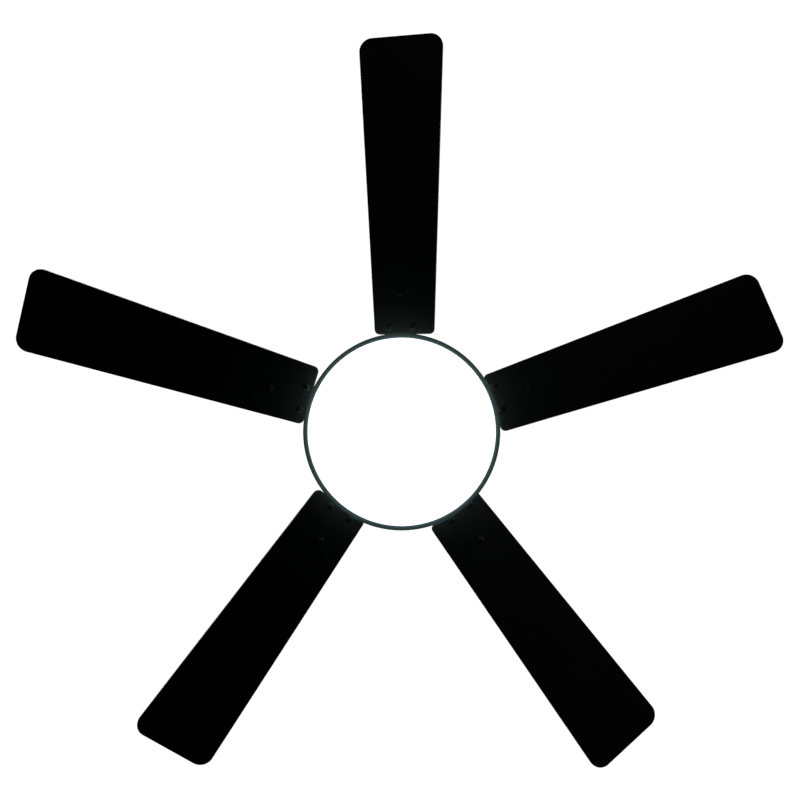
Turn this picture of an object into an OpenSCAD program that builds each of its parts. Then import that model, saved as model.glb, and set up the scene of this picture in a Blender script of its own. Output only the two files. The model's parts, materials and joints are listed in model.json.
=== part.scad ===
// Ceiling fan with a round flat light, hung from the ceiling on a short rod.
// Millimetres, +Z up. The origin is the middle of the bracket's face against the ceiling,
// so the whole fan hangs below Z = 0. The first blade points along -Y.
// Five pitched blades turn with the motor's outer shell round a hollow shaft that stands still.
// Motor shell, shaft, light and rod hang together from a ball that can swing in the bracket.

/* [Ceiling bracket] */
// Length of the bracket along X
bracket_l = 116; // [104:1:150]
// Width of the bracket along Y
bracket_w = 60; // [54:1:76]
// Thickness of the bracket's steel strip
bracket_t = 2.4; // [2:0.1:3.2]
// Outside radius of the bracket's bends
bracket_bend_r = 6; // [4:0.5:8]
// Distance between the middles of the two ceiling screw slots
slot_spacing = 79.4; // [72:0.1:84]
// Width of each ceiling screw slot
slot_w = 5.6; // [4.6:0.1:6.4]
// Length of each ceiling screw slot, end to end
slot_l = 15; // [8:0.5:18]
// Diameter of the hole for the supply wires
wire_hole_d = 28; // [16:1:32]

/* [Hanger ball] */
// Diameter of the hanger ball
ball_d = 58; // [54:1:66]
// Angle from the ball's lowest point to the edge of its seat
seat_angle = 50; // [48:1:54]
// Height of the ball's flat top above its middle
ball_flat_h = 10; // [9:0.5:13]
// How far the rod can swing each way from plumb
swing_deg = 15; // [5:1:16]
// Width of the groove that keeps the ball from turning
groove_w = 7; // [6:0.5:9]
// Depth of that groove
groove_depth = 5; // [4:0.5:6]

/* [Remote receiver] */
// Width of the receiver along Y
receiver_w = 40; // [30:1:50]
// Thickness of the receiver
receiver_t = 20; // [16:1:26]
// Space between the bracket's top plate and the receiver
receiver_drop = 5.6; // [4:0.2:12]

/* [Canopy] */
// Space between the bracket's corners and the canopy's rim
canopy_room = 16.7; // [10:0.1:30]
// How much narrower the canopy is above its lower bend
canopy_taper = 3; // [0:0.5:6]
// Outside radius of the canopy's lower bend
canopy_bend_r = 22; // [14:1:26]
// Thickness of the canopy's steel
canopy_wall = 1.2; // [0.8:0.1:1.8]
// Height of the canopy's floor below the bracket
canopy_drop = 14.3; // [10:0.1:24]
// Height of the trim ring under the canopy
trim_h = 8; // [6:0.5:12]

/* [Downrod] */
// Outside diameter of the rod
rod_d = 26.7; // [21.3:0.1:30]
// Wall of the rod
rod_wall = 2.3; // [1.8:0.1:3]
// Length of the rod
rod_len = 150; // [120:1:900]
// Diameter of the pins across the rod
pin_d = 6.2; // [5:0.1:7]

/* [Motor coupling] */
// Outside diameter of the coupling's socket
yoke_d = 40; // [36:1:48]
// How far the rod sits in the coupling
yoke_depth = 37; // [32:1:50]
// Diameter of the coupling's flange
yoke_flange_d = 68; // [62:1:80]
// Thickness of the coupling's flange
yoke_flange_t = 6; // [4:0.5:10]
// Height of the bell-shaped cover over the coupling
cover_h = 46; // [42:1:60]
// Radius of the cover at its foot
cover_foot_r = 46; // [42:1:52]
// How far the cover slides up the rod
cover_travel = 40; // [10:1:40]

/* [Motor] */
// Diameter of the hollow shaft
shaft_d = 17; // [15:0.5:20]
// Bore of the hollow shaft
shaft_bore_d = 10; // [8:0.5:12]
// Outside diameter of the motor's turning shell
motor_d = 184; // [160:1:222]
// Height of the stator and rotor core
stack_h = 18; // [12:1:24]
// Depth of each end bell beyond the core
bell_depth = 25; // [22:1:34]
// Thickness of the end bells' faces
bell_t = 6; // [5:0.5:9]
// Wall of the end bells
bell_wall = 3.8; // [3:0.1:6]
// Radial width of the turning core
core_ring_w = 21.5; // [16:0.5:24]
// Air gap between stator and rotor
air_gap = 0.4; // [0.3:0.05:0.8]
// Number of stator teeth
teeth = 12; // [9:3:15]
// Outside diameter of the bearings
bearing_d = 40; // [36:1:47]
// Height of the bearings
bearing_h = 12; // [10:1:14]

/* [Motor housing] */
// Space between the motor and the housing that covers it
housing_room = 38; // [20:1:60]
// Thickness of the housing's steel
housing_wall = 1.2; // [0.8:0.1:2]
// Radius of the housing's shoulder
shoulder_r = 48; // [30:1:56]
// How far the housing's lower edge stays above the motor's lower face
housing_lip = 8; // [4:1:20]
// Number of cooling slots round the housing's top
vents = 28; // [12:2:32]

/* [Blades] */
// Length of each blade
blade_len = 500; // [350:10:700]
// Width of each blade at its root
blade_root_w = 102; // [85:1:125]
// Width of each blade at its tip
blade_tip_w = 143; // [110:1:175]
// How far the root's middle lies behind the blade's radius
blade_root_offset = 6.5; // [0:0.5:10]
// Radius of the tip's corners
blade_tip_r = 22; // [10:1:40]
// Radius of the root's corners
blade_root_r = 9; // [4:1:20]
// Thickness of each blade
blade_t = 6; // [5:0.5:9]
// Pitch of the blades
blade_pitch = 12; // [8:0.5:15]
// Distance from the motor's lower face down to the blades' middle plane
blade_drop = 20; // [18:0.5:30]

/* [Blade irons] */
// Distance from the housing's side to the blades' roots
iron_reach = 30; // [20:1:60]
// Thickness of the irons' feet
iron_t = 4; // [3:0.5:6]
// Thickness of the irons' pads on the blades
pad_t = 3.5; // [3:0.5:6]
// Distance between the two screws nearest each root
screw_pair_w = 40; // [30:1:50]
// Distance from the root to that pair of screws
screw_pair_in = 11; // [10:1:20]
// Distance from the pair to the third screw
screw_third_out = 58; // [40:1:80]
// Thickness of the fibre gasket under each foot
gasket_t = 1; // [0.5:0.1:2]

/* [Light] */
// Diameter of the light's metal rim
light_d = 310; // [260:1:372]
// Width of the rim seen from below
rim_w = 7.2; // [5:0.1:8]
// Height of the rim
rim_h = 20; // [18:1:30]
// Depth of the light, from its pan's top to its rim
light_h = 64; // [50:1:80]
// Thickness of the pan's steel
pan_wall = 1.2; // [0.8:0.1:2]
// Width of the slope between the pan's top and its side
pan_slope_w = 54; // [45:1:60]
// Thickness of the opal diffuser
diffuser_t = 2.4; // [1.8:0.1:3]
// How far the diffuser's middle stands below its edge
diffuser_crown = 5.8; // [2:0.2:12]
// How far the rim turns to let the diffuser off
twist_deg = 15; // [10:1:25]
// Diameter of the lugs that carry the rim
lug_d = 3; // [2.4:0.2:4]

/* [Light driver and neck] */
// Length of the light's driver
driver_l = 78; // [60:1:94]
// Width of the light's driver
driver_w = 54; // [40:1:64]
// Height of the light's driver
driver_h = 18; // [12:1:22]
// Height of the neck between the motor and the light
neck_h = 34; // [34:1:60]
// Wall of the neck
neck_wall = 1.6; // [1.2:0.1:2.4]
// Distance from the motor's lower face to the neck's top
neck_drop = 12; // [11:0.5:20]

/* [Reverse switch] */
// How far the switch's knob slides each way
switch_travel = 3.5; // [2:0.5:4]
// Length of the switch's knob
knob_l = 5; // [4:0.5:6]

/* [Clearances] */
// Gap between the ball and its seat
seat_gap = 0.15; // [0.1:0.05:0.3]
// Radial gap where a piece slides or turns on another
running_gap = 0.4; // [0.3:0.05:0.6]
// Radial gap round a shaft, pin or screw that stays put
fit_gap = 0.05; // [0.03:0.01:0.15]
// Gap round the rod where it swings
swing_gap = 1.5; // [1:0.1:3]

/* [Hidden] */
$fn = 72;
blade_count = 5;

// Finishes
black_paint = "#17191a";
black_blade = "#101112";
dark_rim = "#2f3a3c";
zinc = "#b9bcbf";
cast_alloy = "#a4a7a9";
core_steel = "#6f7377";
copper = "#b4683a";
opal = "#f7f9f6";

// Arc points round [cx, cz], from angle a0 to a1
arc_steps = 10;
function arc(cx, cz, r, a0, a1) = [
    for (i = [0:arc_steps])
        let (a = a0 + (a1 - a0) * i / arc_steps)
        [cx + r * cos(a), cz + r * sin(a)]
];

// Ball, seat and bracket heights
ball_r = ball_d / 2;
ball_flat_r = sqrt(ball_r * ball_r - ball_flat_h * ball_flat_h);
ball_reach = ball_flat_r * sin(swing_deg) + ball_flat_h * cos(swing_deg);
receiver_over_ball = 4;
z_receiver_top = -bracket_t - receiver_drop;
z_receiver = z_receiver_top - receiver_t;
z_ball = z_receiver - receiver_over_ball - ball_reach;
z_seat = z_ball - ball_r * cos(seat_angle);
z_bracket = z_seat - bracket_t;
receiver_end_gap = 5.6;
receiver_l = bracket_l - 2 * bracket_t - 2 * receiver_end_gap;
lug_l = 10;
lug_w = 14;
tab_t = 3;
tab_h = 9;
tab_side_gap = 1;
tab_w = groove_w - 2 * tab_side_gap;
tab_x = ball_r * sin(seat_angle) + 1;

// Canopy and its screws
rod_r = rod_d / 2;
canopy_r = norm([bracket_l / 2, bracket_w / 2]) + canopy_room;
canopy_side_r = canopy_r - canopy_taper;
z_canopy = z_bracket - canopy_drop;
z_trim = z_canopy - trim_h;
canopy_screw_d = 4.8;
canopy_head_d = 9;
canopy_head_h = 3;
canopy_screw_in = 12;
canopy_screw_r = bracket_l / 2 - canopy_screw_in;
keyhole_turn = 14;
canopy_floor_r = canopy_side_r - canopy_bend_r;
trim_r = canopy_floor_r - 1;
function swing_room(z) = (z_ball - z) * tan(swing_deg) + rod_r / cos(swing_deg) + swing_gap;

// Rod and its pins
rod_above_ball = 2;
z_rod_top = z_ball + ball_flat_h + rod_above_ball;
z_rod = z_rod_top - rod_len;
ball_pin_up = 4;
ball_pin_l = 44;
set_screw_d = 5;
set_screw_l = 12;

// Coupling
z_yoke_top = z_rod + yoke_depth;
rod_end_gap = 0.8;
z_yoke_floor = z_rod - rod_end_gap;
flange_under_rod = 3;
z_flange = z_rod - flange_under_rod;
yoke_shaft_grip = 18;
z_yoke = z_yoke_floor - yoke_shaft_grip;
yoke_hub_wall = 8.5;
yoke_hub_r = shaft_d / 2 + yoke_hub_wall;
clevis_up = 19;
yoke_screw_up = 9.5;
yoke_screw_d = 6;
yoke_screw_l = 12;
yoke_nut_w = 10;
yoke_nut_t = 4;
clevis_head_d = 10;
clevis_head_t = 2.5;
clevis_tail = 7;
clip_wire_d = 1.8;
housing_screw_d = 4;
housing_screw_r = (yoke_d + yoke_flange_d) / 4 + 1;

// Motor
shaft_r = shaft_d / 2;
motor_r = motor_d / 2;
yoke_to_motor = 2.3;
z_motor_top = z_yoke - yoke_to_motor;
motor_h = stack_h + 2 * bell_depth;
z_motor = z_motor_top - motor_h;
z_stack = z_motor + bell_depth;
core_r = motor_r - bell_wall - fit_gap;
stator_r = core_r - core_ring_w - air_gap;
tooth_w = 9;
tooth_shoe_t = 6;
slot_mouth_w = 3;
hub_r = 28;
coil_side = 3.4;
coil_rise = 6;
bearing_r = bearing_d / 2;
bearing_inset = 2;
z_bearing_top = z_motor_top - bearing_inset - bearing_h;
z_bearing_low = z_motor + bearing_inset + 2;
bearing_ball_d = 6;
bearing_balls_n = 9;
bearing_pitch_r = (shaft_r + bearing_r) / 2;
race_half = 2;
boss_wall = 6;
boss_r = bearing_r + boss_wall;
bell_hole_gap = 4;
bell_hole_r = shaft_r + bell_hole_gap;
bolt_d = 4;
bolt_in = 8;
bolt_r = core_r - bolt_in;
cage_h = 4;
cage_w = 8;

// Housing
housing_r = motor_r + housing_room;
z_housing = z_motor + housing_lip;
housing_hole_gap = 4;
housing_hole_r = yoke_d / 2 + housing_hole_gap;
vent_w = 4;
vent_l = 15;
vent_r = housing_r - shoulder_r - vent_l / 2 - 1;

// Shaft's lower end, neck and light
z_neck_top = z_motor - neck_drop;
z_pan = z_neck_top - neck_h;
z_rim = z_pan - light_h;
shoulder_step = 2.5;
shaft_shoulder_r = shaft_r + shoulder_step;
neck_top_t = 2;
nut_w = 24;
nut_t = 7;
shaft_tail = 3;
z_shaft_end = z_neck_top - neck_top_t - nut_t - shaft_tail;
driver_room = 12.5;
neck_r = norm([driver_l, driver_w]) / 2 + driver_room;
neck_flange_w = 12;
neck_screw_d = 4;
neck_screw_r = neck_r + neck_flange_w / 2;
// The lead fills the narrower of two ways, beside a pin in the rod or through the hollow shaft
lead_gap = 0.775;
lead_room = min(rod_r - rod_wall - pin_d / 2, shaft_bore_d);
lead_d = lead_room - 2 * lead_gap;
lead_over_rod = 3;
z_lead_top = z_rod_top + lead_over_rod;

// Blades and irons
root_r = housing_r + iron_reach;
tip_r = root_r + blade_len;
z_blade = z_motor - blade_drop;
pair_r = root_r + screw_pair_in;
third_r = pair_r + screw_third_out;
foot_screw_d = 5;
foot_screw_in = 18;
foot_screw_r = motor_r - foot_screw_in;
foot_screw_w = 30;
foot_reach = 5;
foot_out_r = motor_r + foot_reach;
blade_screw_d = 4.8;
blade_head_d = 9;
blade_head_h = 2.6;
washer_d = 12.5;
washer_t = 0.8;
boss_d = 13;
boss_h = 2.5;
iron_arm_w = 26;
iron_bend_in = 18;
iron_bend_r = root_r - iron_bend_in;
iron_bend_up = 6;

// Light
light_r = light_d / 2;
lip_r = light_r - rim_w;
lip_t = 1.5;
rim_wall = 3;
rim_bore_r = light_r - rim_wall;
pan_r = rim_bore_r - running_gap;
flange_t = 2.5;
z_lip = z_rim + lip_t;
z_pan_edge = z_lip + flange_t + 2 * running_gap;
pan_flat_r = pan_r - pan_slope_w;
pan_top_bend = 12;
pan_side_bend = 20;
pan_normal = 65;
lug_reach = 2;
lug_up = 9;
z_lug = z_pan_edge + lug_up;
lug_play_deg = 1.2;
pan_hole_r = 8;
board_t = 1.5;
board_edge_gap = 3;
board_r = pan_flat_r - board_edge_gap;
chip_w = 5;
chip_t = 1;
chip_rings = [[8, 0.32], [16, 0.62], [24, 0.9]];
board_screw_d = 3;
board_screw_r = board_r * 0.47;
skirt_h = 0.7;

// Hollow cylinder from z0 up to z1
module tube(r_out, r_in, z0, z1) {
    translate([0, 0, z0])
    difference() {
        cylinder(h = z1 - z0, r = r_out);
        translate([0, 0, -1])
            cylinder(h = z1 - z0 + 2, r = r_in);
    }
}

// Rectangle with four round corners, made of exact arcs
module rounded_rect(size, r) {
    square([size[0] - 2 * r, size[1]], center = true);
    square([size[0], size[1] - 2 * r], center = true);
    for (x = [-1, 1], y = [-1, 1])
        translate([x * (size[0] / 2 - r), y * (size[1] / 2 - r)])
            circle(r = r, $fn = 32);
}

// Box with upright edges rounded, standing on Z = 0
module rounded_box(size, r) {
    linear_extrude(size[2])
        rounded_rect([size[0], size[1]], r);
}

// Screw with a pan head and a cross recess: the head stands on Z = 0, the shank points down
module screw(d, l, head_d, head_h) {
    rim_share = 0.45;
    recess_w = 0.16 * head_d;
    recess_l = 0.62 * head_d;
    difference() {
        union() {
            translate([0, 0, -l])
                cylinder(h = l, d = d, $fn = 32);
            cylinder(h = rim_share * head_h, d = head_d, $fn = 48);
            translate([0, 0, rim_share * head_h])
                cylinder(h = (1 - rim_share) * head_h, d1 = head_d, d2 = 0.62 * head_d, $fn = 48);
        }
        for (a = [0, 90])
            rotate(a)
            translate([-recess_l / 2, -recess_w / 2, 0.4 * head_h])
                cube([recess_l, recess_w, head_h]);
    }
}

// Puts its children along blade i: X outwards, Y towards the blade's lower edge
module along_blade(i) {
    rotate(-90 + (i - 1) * 360 / blade_count)
        children();
}

// Puts its children in the blade's own pitched plane, whose middle is Z = 0
module pitched() {
    translate([0, 0, z_blade])
    rotate([-blade_pitch, 0, 0])
        children();
}

// The places of a blade's three screws
module at_blade_screws() {
    for (y = [-1, 1])
        translate([pair_r, y * screw_pair_w / 2, 0])
            children();
    translate([third_r, 0, 0])
        children();
}

module at_foot_screws() {
    for (y = [-1, 1])
        translate([foot_screw_r, y * foot_screw_w / 2, 0])
            children();
}

// ---------------------------------------------------------------- ceiling end

// Folded steel strip: a plate on the ceiling, two legs and a lower plate with the ball's seat
module hanger_bracket() {
    leg_mid = z_bracket / 2;
    rod_gap_w = rod_d + 4;
    color(zinc)
    difference() {
        union() {
            difference() {
                translate([0, bracket_w / 2, leg_mid])
                rotate([90, 0, 0])
                linear_extrude(bracket_w)
                difference() {
                    rounded_rect([bracket_l, -z_bracket], bracket_bend_r);
                    rounded_rect([bracket_l - 2 * bracket_t, -z_bracket - 2 * bracket_t],
                        bracket_bend_r - bracket_t);
                }
                for (x = [-1, 1])
                    translate([x * slot_spacing / 2, 0, -bracket_t - 1])
                        ceiling_slot();
                translate([0, 0, -bracket_t - 1])
                    cylinder(h = bracket_t + 2, d = wire_hole_d);
                // The rod goes in sideways through this gap
                translate([-rod_gap_w / 2, -bracket_w / 2 - 1, z_bracket - 1])
                    cube([rod_gap_w, bracket_w / 2 + 1, bracket_t + 2]);
                for (x = [-1, 1])
                    translate([x * canopy_screw_r, 0, z_bracket - 1])
                        cylinder(h = bracket_t + 2, d = canopy_screw_d + 2 * fit_gap, $fn = 32);
            }
            // Lugs that carry the receiver
            for (x = [-1, 1])
                translate([x * (bracket_l / 2 - bracket_t - lug_l / 2), 0, z_receiver - bracket_t / 2])
                    cube([lug_l + 0.2, lug_w, bracket_t], center = true);
            // Tab in the ball's groove
            translate([tab_x, -tab_w / 2, z_seat - bracket_t / 2])
                cube([tab_t, tab_w, tab_h + bracket_t / 2]);
        }
        translate([0, 0, z_ball])
            sphere(r = ball_r + seat_gap);
    }
}

module ceiling_slot() {
    run = slot_l - slot_w;
    translate([-run / 2, -slot_w / 2, 0])
        cube([run, slot_w, bracket_t + 2]);
    for (x = [-1, 1])
        translate([x * run / 2, 0, 0])
            cylinder(h = bracket_t + 2, d = slot_w, $fn = 32);
}

// Spun steel cup that hides the bracket
module canopy() {
    bend_z = z_canopy + canopy_bend_r;
    hole_r = swing_room(z_canopy);
    keyhole_d = canopy_head_d + 1;
    color(black_paint)
    difference() {
        rotate_extrude()
        polygon(concat(
            [[canopy_r, 0]],
            arc(canopy_floor_r, bend_z, canopy_bend_r, 0, -90),
            [[hole_r, z_canopy], [hole_r, z_canopy + canopy_wall]],
            arc(canopy_floor_r, bend_z, canopy_bend_r - canopy_wall, -90, 0),
            [[canopy_r - canopy_wall, 0]]
        ));
        for (side = [0, 180])
            rotate(side)
            translate([0, 0, z_canopy - 1]) {
                translate([canopy_screw_r, 0, 0])
                    cylinder(h = canopy_wall + 2, d = canopy_screw_d + 1, $fn = 32);
                rotate(keyhole_turn)
                translate([canopy_screw_r, 0, 0])
                    cylinder(h = canopy_wall + 2, d = keyhole_d, $fn = 32);
                rotate_extrude(angle = keyhole_turn)
                translate([canopy_screw_r - canopy_screw_d / 2 - 0.5, 0])
                    square([canopy_screw_d + 1, canopy_wall + 2]);
            }
    }
}

// Two shoulder screws that hang the canopy from the bracket
module canopy_screws() {
    color(zinc)
    for (x = [-1, 1])
        translate([x * canopy_screw_r, 0, z_canopy - 0.1])
        rotate([180, 0, 0])
            screw(canopy_screw_d, z_bracket - z_canopy + bracket_t + 2, canopy_head_d, canopy_head_h);
}

// Shallow ring that hides the canopy's screws
module canopy_trim_ring() {
    edge = 5;
    hole_r = swing_room(z_trim);
    color(black_paint)
    rotate_extrude()
    polygon(concat(
        [[trim_r, z_canopy]],
        arc(trim_r - edge, z_trim + edge, edge, 0, -90),
        [[hole_r, z_trim], [hole_r, z_trim + canopy_wall]],
        arc(trim_r - edge, z_trim + edge, edge - canopy_wall, -90, 0),
        [[trim_r - canopy_wall, z_canopy]]
    ));
}

// Plastic box of the remote's receiver, resting on the bracket's lugs
module remote_receiver() {
    lid_t = 2;
    color("#e6e6e2")
    translate([0, 0, z_receiver]) {
        rounded_box([receiver_l, receiver_w, receiver_t - lid_t], 4);
        translate([0, 0, receiver_t - lid_t])
            rounded_box([receiver_l - 3, receiver_w - 3, lid_t], 3);
    }
}

// ---------------------------------------------------------------- ball and rod

module hanger_ball() {
    pin_slot_w = pin_d + 0.4;
    pin_slot_l = ball_pin_l + 2;
    groove_r = ball_r - groove_depth;
    color(cast_alloy)
    translate([0, 0, z_ball])
    difference() {
        sphere(r = ball_r, $fn = 96);
        translate([0, 0, ball_flat_h + ball_r])
            cube(2 * ball_r, center = true);
        translate([0, 0, -ball_r - 1])
            cylinder(h = 2 * ball_r, r = rod_r + 2 * fit_gap);
        // Slot that the cross pin drops into
        translate([-pin_slot_l / 2, -pin_slot_w / 2, ball_pin_up - pin_d / 2 - 0.2])
            cube([pin_slot_l, pin_slot_w, ball_r]);
        // Groove for the bracket's tab
        rotate([90, 0, 0])
        translate([0, 0, -groove_w / 2])
        difference() {
            translate([0, -ball_r - 1, 0])
                cube([ball_r + 1, 2 * ball_r + 2, groove_w]);
            translate([0, 0, -1])
                cylinder(h = groove_w + 2, r = groove_r);
        }
        rotate([-90, 0, 0])
            cylinder(h = ball_r + 1, d = set_screw_d + 2 * fit_gap, $fn = 32);
    }
}

module ball_pin() {
    color(zinc)
    translate([-ball_pin_l / 2, 0, z_ball + ball_pin_up])
    rotate([0, 90, 0])
        cylinder(h = ball_pin_l, d = pin_d, $fn = 48);
}

// Headless screw with a hexagon socket: its tip is at Z = 0 and its socket faces +Z
module set_screw(d, l) {
    difference() {
        cylinder(h = l, d = d, $fn = 48);
        translate([0, 0, l - d / 2])
            cylinder(h = d, d = 0.55 * d, $fn = 6);
    }
}

module ball_set_screw() {
    color(zinc)
    translate([0, rod_r, z_ball])
    rotate([-90, 0, 0])
        set_screw(set_screw_d, set_screw_l);
}

module downrod() {
    hole_d = pin_d + 0.3;
    color(black_paint)
    difference() {
        tube(rod_r, rod_r - rod_wall, z_rod, z_rod_top);
        translate([-rod_d, 0, z_ball + ball_pin_up])
        rotate([0, 90, 0])
            cylinder(h = 2 * rod_d, d = hole_d, $fn = 48);
        translate([0, rod_d, z_rod + clevis_up])
        rotate([90, 0, 0])
            cylinder(h = 2 * rod_d, d = hole_d, $fn = 48);
    }
}

// ---------------------------------------------------------------- motor coupling

// Cast socket that joins the rod to the motor's shaft and carries the housing
module motor_yoke() {
    color(zinc)
    difference() {
        union() {
            translate([0, 0, z_flange - yoke_flange_t])
                cylinder(h = z_yoke_top - z_flange + yoke_flange_t, d = yoke_d);
            translate([0, 0, z_flange - yoke_flange_t])
                cylinder(h = yoke_flange_t, d = yoke_flange_d);
            translate([0, 0, z_yoke])
                cylinder(h = z_flange - z_yoke, r = yoke_hub_r);
        }
        translate([0, 0, z_yoke_floor])
            cylinder(h = yoke_depth + 2, r = rod_r + 2 * fit_gap);
        translate([0, 0, z_yoke - 1])
            cylinder(h = yoke_shaft_grip + 2, r = shaft_r + fit_gap);
        translate([0, yoke_d, z_rod + clevis_up])
        rotate([90, 0, 0])
            cylinder(h = 2 * yoke_d, d = pin_d + 0.3, $fn = 48);
        translate([-yoke_d, 0, z_rod + yoke_screw_up])
        rotate([0, 90, 0])
            cylinder(h = 2 * yoke_d, d = yoke_screw_d + 2 * fit_gap, $fn = 48);
        at_housing_screws(z_flange - yoke_flange_t - 1)
            cylinder(h = yoke_flange_t + 2, d = housing_screw_d + 2 * fit_gap, $fn = 32);
    }
}

module at_housing_screws(z) {
    for (a = [30:120:270])
        rotate(a)
        translate([housing_screw_r, 0, z])
            children();
}

module clevis_pin() {
    tail_y = yoke_d / 2 + clevis_tail;
    color(zinc)
    translate([0, 0, z_rod + clevis_up])
    rotate([90, 0, 0])
    difference() {
        translate([0, 0, -yoke_d / 2 - 0.2 - clevis_head_t]) {
            cylinder(h = clevis_head_t, d = clevis_head_d, $fn = 48);
            cylinder(h = tail_y + yoke_d / 2 + 0.2 + clevis_head_t, d = pin_d, $fn = 48);
        }
        translate([0, 10, yoke_d / 2 + clevis_tail / 2])
        rotate([90, 0, 0])
            cylinder(h = 20, d = clip_wire_d + 0.2, $fn = 32);
    }
}

// Spring clip through the clevis pin's tail: one straight leg and one that grips the pin
module cotter_clip() {
    leg_l = 14;
    loop_r = 2.6;
    wire_r = clip_wire_d / 2;
    y = -(yoke_d / 2 + clevis_tail / 2);
    color(zinc)
    translate([0, y, z_rod + clevis_up]) {
        translate([0, 0, -leg_l / 2])
            cylinder(h = leg_l, r = wire_r, $fn = 32);
        translate([0, -loop_r, leg_l / 2])
        rotate([90, 0, 90])
        rotate_extrude(angle = 180)
        translate([loop_r, 0])
            circle(r = wire_r, $fn = 32);
        translate([0, -2 * loop_r, leg_l / 2 - 5])
            cylinder(h = 5, r = wire_r, $fn = 32);
    }
}

module at_yoke_screws() {
    for (side = [0, 180])
        rotate(side)
        translate([0, 0, z_rod + yoke_screw_up])
        rotate([0, 90, 0])
            children();
}

module yoke_set_screws() {
    color(zinc)
    at_yoke_screws()
    translate([0, 0, rod_r])
        set_screw(yoke_screw_d, yoke_screw_l);
}

module yoke_lock_nuts() {
    color(zinc)
    at_yoke_screws()
    translate([0, 0, yoke_d / 2 + 0.3])
    difference() {
        cylinder(h = yoke_nut_t, d = yoke_nut_w / cos(30), $fn = 6);
        translate([0, 0, -1])
            cylinder(h = yoke_nut_t + 2, d = yoke_screw_d + 2 * fit_gap, $fn = 48);
    }
}

// Bell-shaped cover that rests on the housing and can be slid up the rod
module coupling_cover() {
    neck_r_out = rod_r + running_gap + 2.5;
    z_foot = z_flange + housing_wall + 0.3;
    steps = 14;
    wall = 1.2;
    curve = cover_foot_r - neck_r_out;
    outer = [for (i = [0:steps]) let (a = 90 * i / steps)
        [neck_r_out + curve * cos(a), z_foot + cover_h * sin(a)]];
    inner = [for (i = [steps:-1:0]) let (a = 90 * i / steps)
        [neck_r_out + (curve - wall) * cos(a), z_foot + (cover_h - wall) * sin(a)]];
    color(black_paint)
    rotate_extrude()
    polygon(concat(
        outer,
        [[rod_r + running_gap, z_foot + cover_h], [rod_r + running_gap, z_foot + cover_h - wall]],
        inner
    ));
}

// ---------------------------------------------------------------- motor

// Hollow shaft that stands still and carries everything below the coupling
module motor_shaft() {
    color(core_steel)
    difference() {
        union() {
            translate([0, 0, z_shaft_end])
                cylinder(h = z_yoke_floor - 1 - z_shaft_end, r = shaft_r);
            translate([0, 0, z_neck_top])
                cylinder(h = z_bearing_low - z_neck_top, r = shaft_shoulder_r);
        }
        translate([0, 0, z_shaft_end - 1])
            cylinder(h = z_yoke_floor - z_shaft_end + 2, d = shaft_bore_d);
    }
}

module stator_core() {
    color(core_steel)
    translate([0, 0, z_stack])
    linear_extrude(stack_h)
    difference() {
        union() {
            circle(r = hub_r);
            for (i = [0:teeth - 1])
                rotate(i * 360 / teeth)
                translate([0, -tooth_w / 2])
                    square([stator_r - tooth_shoe_t / 2, tooth_w]);
            difference() {
                circle(r = stator_r);
                circle(r = stator_r - tooth_shoe_t);
                for (i = [0:teeth - 1])
                    rotate((i + 0.5) * 360 / teeth)
                    translate([0, -slot_mouth_w / 2])
                        square([stator_r + 1, slot_mouth_w]);
            }
        }
        circle(r = shaft_r + fit_gap);
    }
}

// One coil round each stator tooth
module stator_windings() {
    coil_in = hub_r + 6;
    coil_out = stator_r - tooth_shoe_t - 1;
    coil_gap = 0.2;
    color(copper)
    for (i = [0:teeth - 1])
        rotate(i * 360 / teeth)
        translate([coil_in, 0, z_stack + stack_h / 2])
        rotate([90, 0, 90])
        linear_extrude(coil_out - coil_in)
        difference() {
            rounded_rect([tooth_w + 2 * coil_side, stack_h + 2 * coil_rise], 3);
            square([tooth_w + 2 * coil_gap, stack_h + 2 * coil_gap], center = true);
        }
}

// Ball groove cut into a bearing race
module race_groove() {
    rotate_extrude()
    translate([bearing_pitch_r, bearing_h / 2])
        circle(d = bearing_ball_d + 0.2, $fn = 48);
}

module at_bearings() {
    for (z = [z_bearing_low, z_bearing_top])
        translate([0, 0, z])
            children();
}

module bearing_inner_races() {
    color(zinc)
    at_bearings()
    difference() {
        tube(bearing_pitch_r - race_half, shaft_r + fit_gap, 0, bearing_h);
        race_groove();
    }
}

module bearing_balls() {
    color(zinc)
    at_bearings()
    for (i = [0:bearing_balls_n - 1])
        rotate(i * 360 / bearing_balls_n)
        translate([bearing_pitch_r, 0, bearing_h / 2])
            sphere(d = bearing_ball_d, $fn = 48);
}

module bearing_outer_races() {
    color(zinc)
    at_bearings()
    difference() {
        tube(bearing_r, bearing_pitch_r + race_half, 0, bearing_h);
        race_groove();
    }
}

module at_motor_bolts() {
    for (i = [0:blade_count - 1])
        rotate(-90 + (i + 0.5) * 360 / blade_count)
        translate([bolt_r, 0, 0])
            children();
}

// Ring of steel sheets that turns round the stator
module rotor_core() {
    color(core_steel)
    difference() {
        tube(core_r, stator_r + air_gap, z_stack, z_stack + stack_h);
        at_motor_bolts()
        translate([0, 0, z_stack - 1])
            cylinder(h = stack_h + 2, d = bolt_d + 4 * fit_gap, $fn = 32);
    }
}

// Cast rings on both faces of the turning core
module rotor_cage() {
    r_in = stator_r + air_gap + 1.5;
    color(cast_alloy)
    for (z = [z_stack - cage_h, z_stack + stack_h])
        tube(r_in + cage_w, r_in, z, z + cage_h);
}

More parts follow.
